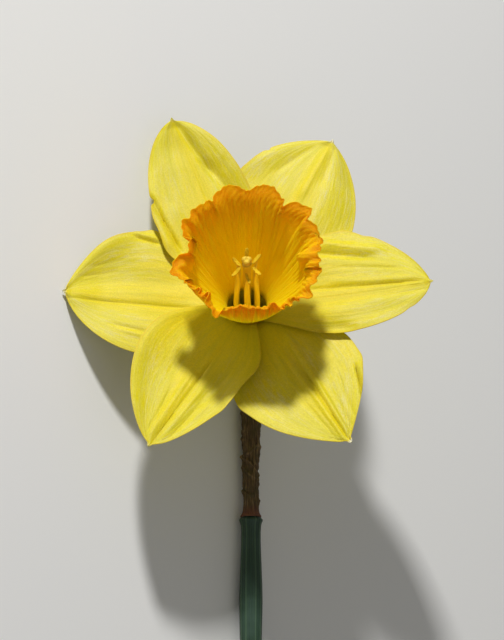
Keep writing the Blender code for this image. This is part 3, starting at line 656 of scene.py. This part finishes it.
rise = np.linspace(0, 1, TRUMPET_ROWS)[:, None]
h_grid = 0.6 * rise + 0.4 * np.sin(math.pi / 2 * rise)
theta_grid = ring_angles(TRUMPET_SIDES)[None, :]
trumpet_middle = trumpet_sheet(h_grid, theta_grid)
trumpet_wall = RIM_THICKNESS + (WALL_THICKNESS - RIM_THICKNESS) * smooth((1 - h_grid) / 0.25)
trumpet_points, trumpet_faces = shell(
    trumpet_middle, np.broadcast_to(trumpet_wall, trumpet_middle.shape[:2]), wraps=True)
radius_now = np.hypot(trumpet_middle[..., 0], trumpet_middle[..., 1])
mean_rim = radius_now.mean(axis=1, keepdims=True)
# Painted shade: a share of deeper orange where the wall bulges out past the ring's mean, in the
# hollows of the pleats as seen from inside, growing towards the rim.
pleat_shade_share = np.clip((radius_now - mean_rim) / 4.0, 0, 1) * smooth((h_grid - 0.6) / 0.4) * 0.55
trumpet_grain = tube_grain(8, theta_grid, 28 * h_grid)
inside = np.stack([h_grid + 0 * theta_grid, pleat_shade_share, 0 * pleat_shade_share], axis=-1).reshape(-1, 3)
outside_share = 0.75 * (1 - smooth((h_grid - 0.75) / 0.25)) + 0 * theta_grid
outside = inside.copy()
outside[:, 2] = outside_share.ravel()
outside[:, 0] = np.maximum(outside[:, 0], 0.3)
trumpet = piece("corona_trumpet", trumpet_points, trumpet_faces,
                grain=np.tile(trumpet_grain, (2, 1)), wall=np.concatenate([outside, inside]))
trumpet.data.materials.append(trumpet_material())
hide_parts("corona")


# Floral tube: the green-yellow, six-ribbed cup that the blades and the trumpet are grown on.
# One turned skin, outside and inside, from its closed foot to its mouth.
TUBE_OUTSIDE = [(8.0, -2.5), (6.4, -4.0), (5.4, -6.8), (4.8, -11.0), (4.5, -14.5), (3.2, -17.1)]
TUBE_WALL = 0.8
TUBE_FLOOR = -16.2
TUBE_FOOT = -17.1
TUBE_TONE_LENGTH = 15.6      # the skin's tones run from the foot over this length
TUBE_POLE = 0.3              # radius of the flat caps in the middle of its foot and floor
TUBE_SIDES = 120
TUBE_RIBS = 6


def turned_grid(outline, sides):
    """Points of an outline of radius and height, turned round the flower's axis."""
    radius, height = np.asarray(outline, float).T
    theta = ring_angles(sides)
    return np.stack([np.outer(radius, np.cos(theta)), np.outer(radius, np.sin(theta)),
                     np.repeat(height[:, None], sides, axis=1)], axis=-1)


def closed_rings(grid):
    """Points, quads and two end caps of rings that lie one behind the other."""
    rows, sides = grid.shape[:2]
    caps = [np.arange(sides), (rows - 1) * sides + np.arange(sides)[::-1]]
    return grid.reshape(-1, 3), grid_faces(rows, sides, True, 0, False), caps


def ringed(name, grid, along):
    """A closed piece of rings. Its material reads the points themselves as the grain, and
    each ring's place along the piece."""
    points, quads, caps = closed_rings(grid)
    return piece(name, points, quads, caps, grain=points, along=np.repeat(along, grid.shape[1]))


def tissue(name, tones, streak_colour, streak_share, rough, fine=(1.2, 1.2, 0.12), **surface):
    """Plain plant tissue: tones that follow the piece from one end to the other, with fine
    lengthwise streaks of a second colour, which the bump and the roughness follow. fine is
    the number of streaks in a millimetre, across and along the piece."""
    material, tree, shader = new_material(name, ior=1.42, specular_ior_level=0.4, **surface)
    grain = add(tree, "ShaderNodeAttribute", attribute_name="grain").outputs["Vector"]
    along = add(tree, "ShaderNodeAttribute", attribute_name="along").outputs["Fac"]
    drawn = add(tree, "ShaderNodeMapping", {"Vector": grain, "Scale": fine})
    streak = add(tree, "ShaderNodeTexNoise", {"Vector": drawn.outputs[0], "Scale": 1.0,
                                             "Detail": 4.0, "Roughness": 0.6})
    places = np.linspace(0, 1, len(tones))
    tone = add(tree, "ShaderNodeValToRGB", {"Fac": along},
               stops=[(place, linear(colour)) for place, colour in zip(places, tones)])
    share = add(tree, "ShaderNodeMapRange", {"Value": streak.outputs["Fac"], "From Min": 0.42,
                                            "From Max": 0.66, "To Min": 0.0,
                                            "To Max": streak_share})
    painted(tree, shader, tone.outputs[0], [(share.outputs[0], streak_colour)])
    finished(tree, shader, streak.outputs["Fac"], (rough - 0.08, rough + 0.12),
             streak.outputs["Fac"], 0.5, 0.0002)
    return material


outside_wall = through(TUBE_OUTSIDE[::-1], np.linspace(0, len(TUBE_OUTSIDE) - 1, 46))
inside_wall = outside_wall[:8:-1] - [TUBE_WALL, 0]
inside_wall[:, 1] = np.maximum(inside_wall[:, 1], TUBE_FLOOR)
tube_outline = np.vstack([[TUBE_POLE, TUBE_FOOT], outside_wall, inside_wall,
                          [TUBE_POLE, TUBE_FLOOR]])
tube_grid = turned_grid(tube_outline, TUBE_SIDES)
tube_theta = ring_angles(TUBE_SIDES)
tube_grid[..., :2] *= (1 + 0.03 * np.cos(TUBE_RIBS * tube_theta)
                       + 0.008 * np.cos(5 * TUBE_RIBS * tube_theta))[None, :, None]
flower_tube = ringed("floral_tube_cup", tube_grid,
                     np.clip((tube_outline[:, 1] - TUBE_FOOT) / TUBE_TONE_LENGTH, 0, 1))
flower_tube.data.materials.append(tissue(
    "tube_tissue", ["#5F7A24", "#93A02A", "#CFC430"], "#D9D765", 0.5, 0.45,
    subsurface_weight=0.15, subsurface_radius=(1.0, 0.9, 0.2), subsurface_scale=0.0008))
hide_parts("floral_tube")


# Ovary: the smooth, faintly three-cornered green seed case behind the tube, one turned skin
# that runs over into the tube above and the pedicel below.
OVARY_TOP = -17.0
OVARY_LENGTH = 10.6
OVARY_WAIST = 2.6
OVARY_FOOT = 2.0
OVARY_BELLY = 1.25
OVARY_SIDES = 72

down_part = np.linspace(0, 1, 56)
ovary_radius = (OVARY_WAIST + (OVARY_FOOT - OVARY_WAIST) * down_part
                + OVARY_BELLY * np.sin(math.pi * down_part ** 1.1) ** 1.2)
ovary_grid = turned_grid(np.stack([ovary_radius, OVARY_TOP - OVARY_LENGTH * down_part], axis=-1),
                         OVARY_SIDES)
ovary_grid[..., :2] *= (1 + 0.035 * np.cos(3 * ring_angles(OVARY_SIDES))[None, :]
                        * np.sin(math.pi * down_part)[:, None])[..., None]
ovary = ringed("ovary_case", ovary_grid, down_part)
ovary.data.materials.append(tissue(
    "ovary_skin", ["#5C7426", "#3F6420", "#48661F"], "#7C9440", 0.35, 0.36,
    subsurface_weight=0.1, subsurface_radius=(0.7, 1.0, 0.2), subsurface_scale=0.0006))
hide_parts("ovary")


# Style and stigma: a slender three-grooved column of golden tissue that ends in a sticky
# knob of three rounded lobes.
STYLE_FOOT = -15.9
STYLE_TOP = 22.9
STYLE_RADIUS = 1.15
STYLE_SIDES = 36
STIGMA_LOBES = 3
STIGMA_RADIUS = 1.42
STIGMA_MIDDLE = 24.0         # height of the knob's middle
STIGMA_HALF_HEIGHT = 1.05
STIGMA_DIMPLE = 0.45         # depth of the dimple on its top
STIGMA_ROWS = 30
STIGMA_SIDES = 60

style_part = np.linspace(0, 1, 80)
style_radius = STYLE_RADIUS * (1 - 0.22 * np.sin(math.pi * style_part ** 0.8)
                               + 0.12 * smooth((style_part - 0.9) / 0.1))
style_grid = turned_grid(np.stack(
    [style_radius, STYLE_FOOT + (STYLE_TOP - STYLE_FOOT) * style_part], axis=-1), STYLE_SIDES)
style_grid[..., :2] *= (1 + 0.07 * np.cos(3 * ring_angles(STYLE_SIDES)))[None, :, None]
style = ringed("style_column", style_grid, style_part)
style.data.materials.append(tissue(
    "style_tissue", ["#8C8414", "#D0B01C", "#DCBC28"], "#EEDC5C", 0.5, 0.4,
    subsurface_weight=0.2, subsurface_radius=(1.0, 0.7, 0.1), subsurface_scale=0.0006))
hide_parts("style")

polar = np.linspace(0.12, math.pi - 0.3, STIGMA_ROWS)[::-1]
stigma_theta = ring_angles(STIGMA_SIDES)
lobe = np.abs(np.cos(STIGMA_LOBES / 2 * (stigma_theta - 0.5))) ** 0.7
stigma_radius = STIGMA_RADIUS * np.sin(polar)[:, None] * (0.74 + 0.28 * lobe[None, :])
stigma_height = (STIGMA_MIDDLE + STIGMA_HALF_HEIGHT * np.cos(polar)[:, None]
                 + 0.12 * lobe[None, :] * np.sin(polar)[:, None])
dimple = STIGMA_DIMPLE * bell(stigma_radius / 0.5) * (polar < 1.2)[:, None]
papillae = 1 + 0.03 * np.sin(9 * stigma_theta[None, :] + 5 * polar[:, None]) * np.sin(
    14 * polar)[:, None]
stigma_grid = np.stack([stigma_radius * papillae * np.cos(stigma_theta),
                        stigma_radius * papillae * np.sin(stigma_theta),
                        stigma_height - dimple], axis=-1)
stigma = ringed("stigma_knob", stigma_grid, np.linspace(0, 1, STIGMA_ROWS))
stigma.data.materials.append(tissue(
    "stigma_tissue", ["#D8A814", "#E8C024"], "#F0D860", 0.45, 0.45, fine=(3.0, 3.0, 3.0),
    subsurface_weight=0.3, subsurface_radius=(1.0, 0.8, 0.2), subsurface_scale=0.0006))
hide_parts("stigma")


# Stamens: six golden filaments that rise from the tube in a ring and close in on the style,
# each with a slim anther of two split pollen sacs set across its end.
FILAMENT_ROUTE = [(2.7, -13.2), (2.9, -7.0), (3.1, -1.0), (3.2, 4.0), (3.0, 10.0),
                  (2.7, 14.5), (2.6, 17.0)]
FILAMENT_RADIUS = 0.95
FILAMENT_TIP_RADIUS = 0.32
FILAMENT_FLATTENING = 0.82
FILAMENT_SIDES = 22
ANTHER_LENGTH = 3.3
ANTHER_RADIUS = 0.42
ANTHER_WIDENING = 1.15       # an anther is this much wider than it is deep
ANTHER_SIDES = 32
ANTHER_REACH = 3.1           # distance of an anther's middle from the axis
ANTHER_STEP = 1.0
ANTHER_SKEW = (0.12, -0.3, 0.25, -0.2, 0.35, -0.25)   # turned out of the radial line, radians
# turn round the axis, height of the anther's middle, tilt of its outer end
STAMENS = [(90, 22.6, 50), (30, 22.2, 22), (150, 20.3, 25), (210, 20.6, -18),
           (330, 20.8, 4), (275, 19.7, -8)]


def along_route(route, radius_side, radius_front, side, sides):
    """Rings round a route: ellipses in the plane of the side and of the side crossed with the
    route's own direction."""
    direction = unit(np.gradient(route, axis=0))
    front = np.cross(direction, side)
    theta = ring_angles(sides)[None, :, None]
    return (route[:, None] + radius_side[:, None, None] * np.cos(theta) * side
            + radius_front[:, None, None] * np.sin(theta) * front[:, None])


FILAMENT = tissue("filament_tissue", ["#A49A24", "#E6D840", "#ECDC48", "#E6CC38"], "#F4E880",
                  0.45, 0.4, subsurface_weight=0.2, subsurface_radius=(1.0, 0.7, 0.1),
                  subsurface_scale=0.0006)
POLLEN = tissue("pollen_grains", ["#DAAF07", "#EAC511", "#DAAF07"], "#F2D430", 0.4, 0.8,
                fine=(5.0, 5.0, 5.0))


def build_stamen(number, turn, height, tilt):
    """One stamen. The filament runs along a smooth route in the plane of its own direction
    and sways sideways as a sine. The anther is a bowed, rounded rod with two grooves, which
    are bells in its cross-section, and crossed sines make its surface lumpy."""
    lean = math.radians(tilt)
    angle = math.radians(turn)
    up = np.array([0.0, 0.0, 1.0])
    radial = np.array([math.cos(angle), math.sin(angle), 0.0])
    side = np.array([-math.sin(angle), math.cos(angle), 0.0])
    end = (ANTHER_REACH + ANTHER_STEP * math.sin(lean) * 0.4 - 0.15,
           height - ANTHER_STEP * math.cos(lean) * 0.4)
    knots = FILAMENT_ROUTE + [end]
    part = np.linspace(0, 1, 70)
    flat = through(knots, part * (len(knots) - 1))
    wander = 0.22 * np.sin(7 * part + 2.1 * number) * part * (1 - part) * 4
    route = flat[:, :1] * radial + flat[:, 1:] * up + wander[:, None] * side
    radius = FILAMENT_RADIUS + (FILAMENT_TIP_RADIUS - FILAMENT_RADIUS) * part ** 2.5
    rings = along_route(route, radius, radius * FILAMENT_FLATTENING, side, FILAMENT_SIDES)
    filament = ringed(f"filament_{number}_thread", rings, part)
    filament.data.materials.append(FILAMENT)
    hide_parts(f"filament_{number}")

    reach = np.linspace(-1, 1, 48)
    askew = ANTHER_SKEW[number - 1]
    side = side * math.cos(askew) + radial * math.sin(askew)
    axis = np.cross(side, up) * math.cos(lean) + up * math.sin(lean)
    lift = np.cross(axis, side)
    centre = radial * ANTHER_REACH + up * height
    theta = ring_angles(ANTHER_SIDES)
    thick = (1 - np.abs(reach) ** 3.2) ** 0.5 * ANTHER_RADIUS + 0.04
    sacs = (1 - 0.34 * bell((theta - math.pi / 2) / 0.42)
            - 0.22 * bell((theta - 3 * math.pi / 2) / 0.4))
    lumps = 1 + 0.09 * np.sin(9 * reach[:, None] + 3 * theta + number) + 0.06 * np.sin(
        23 * reach[:, None] - 5 * theta)
    around_ring = thick[:, None] * sacs * lumps
    bow = 0.32 * reach ** 2 + 0.1 * np.sin(3 * reach + number)
    body = centre + reach[:, None] * ANTHER_LENGTH / 2 * axis + bow[:, None] * lift
    rings = (body[:, None] + (around_ring * np.cos(theta))[..., None] * side * ANTHER_WIDENING
             + (around_ring * np.sin(theta))[..., None] * lift)
    anther = ringed(f"anther_{number}_sacs", rings, (reach + 1) / 2)
    anther.data.materials.append(POLLEN)
    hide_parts(f"anther_{number}")


for stamen_number, stamen in enumerate(STAMENS, start=1):
    build_stamen(stamen_number, *stamen)


# Pedicel: the smooth green neck that bends the flower forward off the top of the stalk, one
# tapering skin from the ovary down to the node.
BEND = math.radians(75.0)
BEND_RADIUS = 7.0
NECK_STRAIGHT = 40.0
NECK_DRIFT = 1.1
PEDICEL_RADIUS = 1.5
PEDICEL_SIDES = 40
DOWN = np.array([0.0, -math.sin(BEND), -math.cos(BEND)])
FRONT = np.array([0.0, -math.cos(BEND), math.sin(BEND)])
SIDE = np.array([1.0, 0.0, 0.0])

bend_turn = np.linspace(0, BEND, 36)
neck_bend = np.stack([0 * bend_turn, -BEND_RADIUS * (1 - np.cos(bend_turn)),
                      OVARY_TOP - OVARY_LENGTH + 0.1 - BEND_RADIUS * np.sin(bend_turn)], axis=-1)
neck = np.vstack([neck_bend, neck_bend[-1] + np.linspace(0, NECK_STRAIGHT, 60)[1:, None] * DOWN])
neck_part = np.linspace(0, 1, len(neck))
neck[:, 0] += NECK_DRIFT * smooth(neck_part)
NODE = neck[-1]
pedicel_radius = PEDICEL_RADIUS + (OVARY_FOOT - PEDICEL_RADIUS) * (1 - smooth(neck_part / 0.25))
pedicel = ringed("pedicel_neck", along_route(neck, pedicel_radius, pedicel_radius, SIDE,
                                             PEDICEL_SIDES), neck_part)
pedicel.data.materials.append(tissue(
    "pedicel_skin", ["#48661F", "#3C5C22", "#33502A"], "#6E8A44", 0.4, 0.4))
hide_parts("pedicel")


# Spathe: the dry, papery brown sheath that the bud came out of. It is wrapped round the neck
# from the node up, crumpled and veined lengthwise, and runs up into a ragged hood behind.
SPATHE_FRONT = 37.0
SPATHE_BACK = 48.0
SPATHE_FOOT_RADIUS = 2.05
SPATHE_MOUTH_RADIUS = 2.72
SPATHE_TIP_RADIUS = 5.5
SPATHE_THICKNESS = 0.22
SPATHE_ROWS = 230
SPATHE_SIDES = 132
# Wrinkles across the sheath: height at the front, slant, width, how far they stand out.
WRINKLES = [(5.7, -1.0, 0.32, 0.30), (6.4, -1.1, 0.40, -0.16), (11.4, -2.2, 0.35, 0.22),
            (14.2, -2.6, 0.40, 0.32), (15.1, -2.6, 0.50, -0.20), (18.3, 1.6, 0.45, 0.26),
            (20.6, -1.4, 0.55, 0.24), (24.8, 1.2, 0.60, 0.20), (28.0, -1.8, 0.60, 0.22)]

spathe_theta = ring_angles(SPATHE_SIDES)
ragged = 0.5 * np.sin(5 * spathe_theta + 0.7) + 0.3 * np.sin(13 * spathe_theta)
mouth = SPATHE_FRONT + (SPATHE_BACK - SPATHE_FRONT) * ((1 - np.cos(spathe_theta)) / 2) ** 2
mouth = mouth + ragged * np.sin(spathe_theta / 2 + 0.3) ** 2 - 0.4
sheath_up = np.linspace(-0.1, 1, SPATHE_ROWS)[:, None] * mouth
sheath_up = np.maximum(sheath_up, -0.35 + 0.02 * np.arange(SPATHE_ROWS)[:, None] / SPATHE_ROWS)
swell = np.clip(sheath_up / SPATHE_FRONT, 0, 1) ** 1.3
closed_radius = SPATHE_FOOT_RADIUS + (SPATHE_MOUTH_RADIUS - SPATHE_FOOT_RADIUS) * swell
opened = np.clip((sheath_up - SPATHE_FRONT) / (SPATHE_BACK - SPATHE_FRONT), 0, 1)
curl = closed_radius + (SPATHE_TIP_RADIUS - SPATHE_MOUTH_RADIUS) * opened
shift = curl - closed_radius
crumple = 0.13 * np.sin(3 * spathe_theta + 0.35 * sheath_up + 1.0) * np.sin(0.55 * sheath_up)
crumple = crumple + 0.09 * np.sin(5 * spathe_theta - 0.9 * sheath_up) * np.sin(
    1.3 * sheath_up + 2 * np.sin(2 * spathe_theta))
crumple = crumple + 0.08 * (np.abs(np.sin(4 * spathe_theta + 1.1 * np.sin(0.8 * sheath_up)
                                          + 0.25 * sheath_up)) - 0.5)
for wrinkle_up, slant, width, stands in WRINKLES:
    path = wrinkle_up + slant * np.sin(spathe_theta) + 0.35 * np.sin(3 * spathe_theta + wrinkle_up)
    share = smooth(0.5 + 0.6 * np.cos(spathe_theta - 1.7 * wrinkle_up))
    crumple = crumple + stands * bell((sheath_up - path) / width) * (0.35 + 0.65 * share)
fibres = 0.035 * np.sin(31 * spathe_theta + 0.6 * np.sin(0.7 * sheath_up))
foot_flare = 0.75 * np.exp(-np.maximum(sheath_up, 0) / 0.8)
sheath_radius = curl + (1.5 * crumple * smooth((sheath_up - 1.0) / 4.0) + fibres) + foot_flare
sheath_out = shift + sheath_radius * np.cos(spathe_theta)
sheath = (NODE - sheath_up[..., None] * DOWN
          + (sheath_radius * np.sin(spathe_theta))[..., None] * SIDE
          + sheath_out[..., None] * FRONT)
spathe_points, spathe_faces = shell(
    sheath, np.full(sheath.shape[:2], SPATHE_THICKNESS), wraps=True)
sheath_grain = tube_grain(2.4, spathe_theta, sheath_up)
# How far each point of the sheath stands out in its crumples, from 0 to 1. The paler colour that
# follows it is partly wear and partly a painted highlight on the raised wrinkles.
ridge_wear_and_highlight = (crumple - crumple.min()) / (crumple.max() - crumple.min())


def papery_skin():
    """Dead, dry membrane: thin brown paper with darker fibres running lengthwise, folds that are
    paler where they stand out, partly from wear and partly as a painted highlight on the raised
    wrinkles, and a reddish band where it is still fastened to the node."""
    material, tree, shader = new_material("dry_sheath", ior=1.45, specular_ior_level=0.3)
    grain = add(tree, "ShaderNodeAttribute", attribute_name="grain").outputs["Vector"]
    worn = add(tree, "ShaderNodeAttribute", attribute_name="worn").outputs["Fac"]
    height = add(tree, "ShaderNodeSeparateXYZ", {"Vector": grain}).outputs["Z"]
    drawn = add(tree, "ShaderNodeMapping", {"Vector": grain, "Scale": (2.6, 2.6, 0.22)})
    fibre = add(tree, "ShaderNodeTexNoise", {"Vector": drawn.outputs[0], "Scale": 1.0,
                                            "Detail": 4.0, "Roughness": 0.65})
    blotch = add(tree, "ShaderNodeTexNoise", {"Vector": grain, "Scale": 0.45, "Detail": 3.0})
    brown = add(tree, "ShaderNodeValToRGB", {"Fac": fibre.outputs["Fac"]},
                stops=[(0.32, linear("#3C2C1A")), (0.5, linear("#604B30")),
                       (0.68, linear("#8E7650"))])
    olive = add(tree, "ShaderNodeMapRange", {"Value": blotch.outputs["Fac"], "From Min": 0.42,
                                            "From Max": 0.62, "To Min": 0.0, "To Max": 0.6})
    # Paler where the crumples stand out: partly wear, partly a painted highlight on the raised
    # wrinkles.
    edge = add(tree, "ShaderNodeMapRange", {"Value": worn, "From Min": 0.55, "From Max": 0.95,
                                           "To Min": 0.0, "To Max": 0.65})
    foot = add(tree, "ShaderNodeMapRange", {"Value": height, "From Min": 0.6, "From Max": 3.2,
                                           "To Min": 0.7, "To Max": 0.0})
    painted(tree, shader, brown.outputs[0], [
        (olive.outputs[0], "#4C4624"), (edge.outputs[0], "#AC906A"),
        (foot.outputs[0], "#7A4A38")])
    finished(tree, shader, fibre.outputs["Fac"], (0.5, 0.85), fibre.outputs["Fac"], 0.8, 0.00035)
    return material


spathe = piece("spathe_sheath", spathe_points, spathe_faces,
               grain=np.tile(sheath_grain, (2, 1)), worn=np.tile(ridge_wear_and_highlight.ravel(), 2))
spathe.data.materials.append(papery_skin())
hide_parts("spathe")


# Stalk: the dark green, hollow, faintly two-edged stem with a waxy bloom. A sharp collar
# marks the node; the skin carries raised ribs, and the cut end shows the pale flesh.
SCAPE_LENGTH = 170.0
SCAPE_PROFILE = [(2.5, 0.0), (2.95, 1.0), (2.62, 3.0), (2.55, 7.0), (3.0, 21.0), (2.85, 40.0),
                 (2.9, 80.0), (3.0, 125.0), (3.15, 170.0)]
SCAPE_KEEL = 0.07
SCAPE_BOW = 4.0
BORE_RADIUS = 1.5
BORE_LENGTH = 160.0
BORE_ROWS = 40
SCAPE_SIDES = 144
COLLAR_HEIGHT = 0.18
RIB_HEIGHT = 0.09
RIB_TURNS = (28, 62, 118, 152, 208, 246, 294, 332)

scape_top = NODE + 0.25 * DOWN
scape_theta = ring_angles(SCAPE_SIDES)
profile_place = np.concatenate([np.linspace(0, 3, 40), np.linspace(3, 8, 220)[1:]])
scape_radius, scape_run = through(SCAPE_PROFILE, profile_place).T
collar = COLLAR_HEIGHT * bell((scape_run - 1.0) / 0.45)
ribs = sum(RIB_HEIGHT * bell(turn_from(scape_theta, rib) / 6) for rib in RIB_TURNS)
ribs = ribs + 0.02 * np.cos(24 * scape_theta)
skin_radius = ((scape_radius + collar)[:, None] * (1 + SCAPE_KEEL * np.cos(2 * scape_theta))
               + ribs * smooth((scape_run[:, None] - 0.6) / 3.0))
skin_radius = skin_radius + 0.03 * np.sin(0.31 * scape_run[:, None] + 2 * scape_theta)


def stalk_rings(run, radius):
    """Cross-sections at distances below the node, on the stalk's slightly bowed axis."""
    part = run / SCAPE_LENGTH
    axis = scape_top + run[:, None] * DOWN - SCAPE_BOW * part[:, None] ** 3 * SIDE
    return (axis[:, None] + (radius * np.cos(scape_theta))[..., None] * SIDE
            + (radius * np.sin(scape_theta))[..., None] * FRONT)


flesh_share = np.linspace(0, 1, 9)[1:-1, None]
flesh_radius = skin_radius[-1] * (1 - flesh_share) + BORE_RADIUS * flesh_share
flesh_run = SCAPE_LENGTH + 0.25 * bell((flesh_share - 0.15) / 0.2)[:, 0] - 0.1
bore_run = np.linspace(SCAPE_LENGTH - 0.2, SCAPE_LENGTH - BORE_LENGTH, BORE_ROWS)
bore_radius = np.full((BORE_ROWS, SCAPE_SIDES), BORE_RADIUS) * (1 + 0.04 * np.cos(7 * scape_theta))
scape_rings = np.concatenate([stalk_rings(scape_run, skin_radius),
                              stalk_rings(flesh_run, flesh_radius),
                              stalk_rings(bore_run, bore_radius)])
scape_points, scape_quads, scape_caps = closed_rings(scape_rings)
flesh = np.concatenate([0 * scape_run, 0.15 + 0.85 * flesh_share[:, 0] ** 0.5,
                        np.ones(BORE_ROWS)])
run_all = np.concatenate([scape_run, flesh_run, bore_run])
scape_grain = tube_grain(3, scape_theta, run_all[:, None])
rib_share = np.zeros((len(run_all), SCAPE_SIDES))
rib_share[:len(scape_run)] = np.clip(ribs / RIB_HEIGHT, 0, 1)


def stalk_skin():
    """Stalk skin: deep green with a thin, bluish-grey bloom of wax that is rubbed off in
    lengthwise streaks, lighter along the ribs, and pale moist flesh inside the cut."""
    material, tree, shader = new_material(
        "stalk_skin", ior=1.45, specular_ior_level=0.45, subsurface_weight=0.05,
        subsurface_radius=(0.5, 1.0, 0.2), subsurface_scale=0.0006)
    grain = add(tree, "ShaderNodeAttribute", attribute_name="grain").outputs["Vector"]
    rib = add(tree, "ShaderNodeAttribute", attribute_name="rib").outputs["Fac"]
    inner = add(tree, "ShaderNodeAttribute", attribute_name="flesh").outputs["Fac"]
    drawn = add(tree, "ShaderNodeMapping", {"Vector": grain, "Scale": (1.5, 1.5, 0.05)})
    streak = add(tree, "ShaderNodeTexNoise", {"Vector": drawn.outputs[0], "Scale": 1.0,
                                             "Detail": 4.0, "Roughness": 0.6})
    bloom = add(tree, "ShaderNodeTexNoise", {"Vector": grain, "Scale": 0.12, "Detail": 3.0})
    green = add(tree, "ShaderNodeValToRGB", {"Fac": streak.outputs["Fac"]},
                stops=[(0.3, linear("#18301F")), (0.55, linear("#213C28")),
                       (0.75, linear("#2C4A31"))])
    wax = add(tree, "ShaderNodeMapRange", {"Value": bloom.outputs["Fac"], "From Min": 0.4,
                                          "From Max": 0.65, "To Min": 0.12, "To Max": 0.42})
    raised = add(tree, "ShaderNodeMath", {0: rib, 1: 0.28}, operation="MULTIPLY")
    moist = add(tree, "ShaderNodeValToRGB", {"Fac": inner},
                stops=[(0.1, linear("#4F7436")), (0.3, linear("#B8C88A")),
                       (1.0, linear("#DCE2B4"))])
    cut = add(tree, "ShaderNodeMath", {0: inner, 1: 0.05}, operation="GREATER_THAN")
    painted(tree, shader, green.outputs[0], [
        (wax.outputs[0], "#486056"), (raised.outputs[0], "#6C8A64"),
        (cut.outputs[0], moist.outputs[0])])
    finished(tree, shader, bloom.outputs["Fac"], (0.34, 0.62), streak.outputs["Fac"], 0.5, 0.0002)
    return material


stalk = piece("flower_stalk", scape_points, scape_quads, scape_caps, grain=scape_grain,
              rib=rib_share.ravel(), flesh=np.repeat(flesh, SCAPE_SIDES))
stalk.data.materials.append(stalk_skin())
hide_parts("scape")


# Floor and light: a plain pale surface, one small, strong lamp high on the side that the
# flower's top points to, a large, weak fill from the camera's side, and a pale surrounding.
FLOOR_REACH = 3.0            # the floor's edges lie this far from the middle, in metres

floor_mesh = bpy.data.meshes.new("floor")
floor_mesh.from_pydata([(FLOOR_REACH * x, FLOOR_REACH * y, 0.0)
                        for x, y in [(-1, -1), (1, -1), (1, 1), (-1, 1)]], [], [(0, 1, 2, 3)])
floor = bpy.data.objects.new("floor", floor_mesh)
bpy.context.collection.objects.link(floor)
paper, _, paper_shader = new_material("matt_paper", roughness=0.9)
paper_shader.inputs["Base Color"].default_value = linear("#F2F1EE")
floor_mesh.materials.append(paper)


def square_lamp(name, direction, distance, size, power):
    """A square lamp that faces the throat. Its axes are the direction, the level line across
    it and their cross product. Distance in millimetres, size in metres, power in watts."""
    data = bpy.data.lights.new(name, "AREA")
    data.size = size
    data.energy = power
    item = bpy.data.objects.new(name, data)
    bpy.context.collection.objects.link(item)
    back = unit(np.asarray(direction, float) @ AXES)
    side = unit(np.cross([0.0, 0.0, 1.0], back))
    turned = np.stack([side, np.cross(back, side), back]).T
    item.matrix_world = Matrix.LocRotScale(THROAT * MM + back * distance * MM,
                                           Matrix(turned.tolist()), None)


square_lamp("key", 0.87 * view_up + 0.5 * view_back - 0.05 * view_right, 1200, 0.11, 13.8)
square_lamp("fill", view_back + 0.5 * view_right - 0.3 * view_up, 1400, 1.2, 1.4)

world = bpy.data.worlds.new("studio")
world.use_nodes = True
world.node_tree.nodes["Background"].inputs["Color"].default_value = linear("#F4F4F2")
world.node_tree.nodes["Background"].inputs["Strength"].default_value = 0.2
bpy.context.scene.world = world
bpy.context.scene.view_settings.view_transform = "Standard"
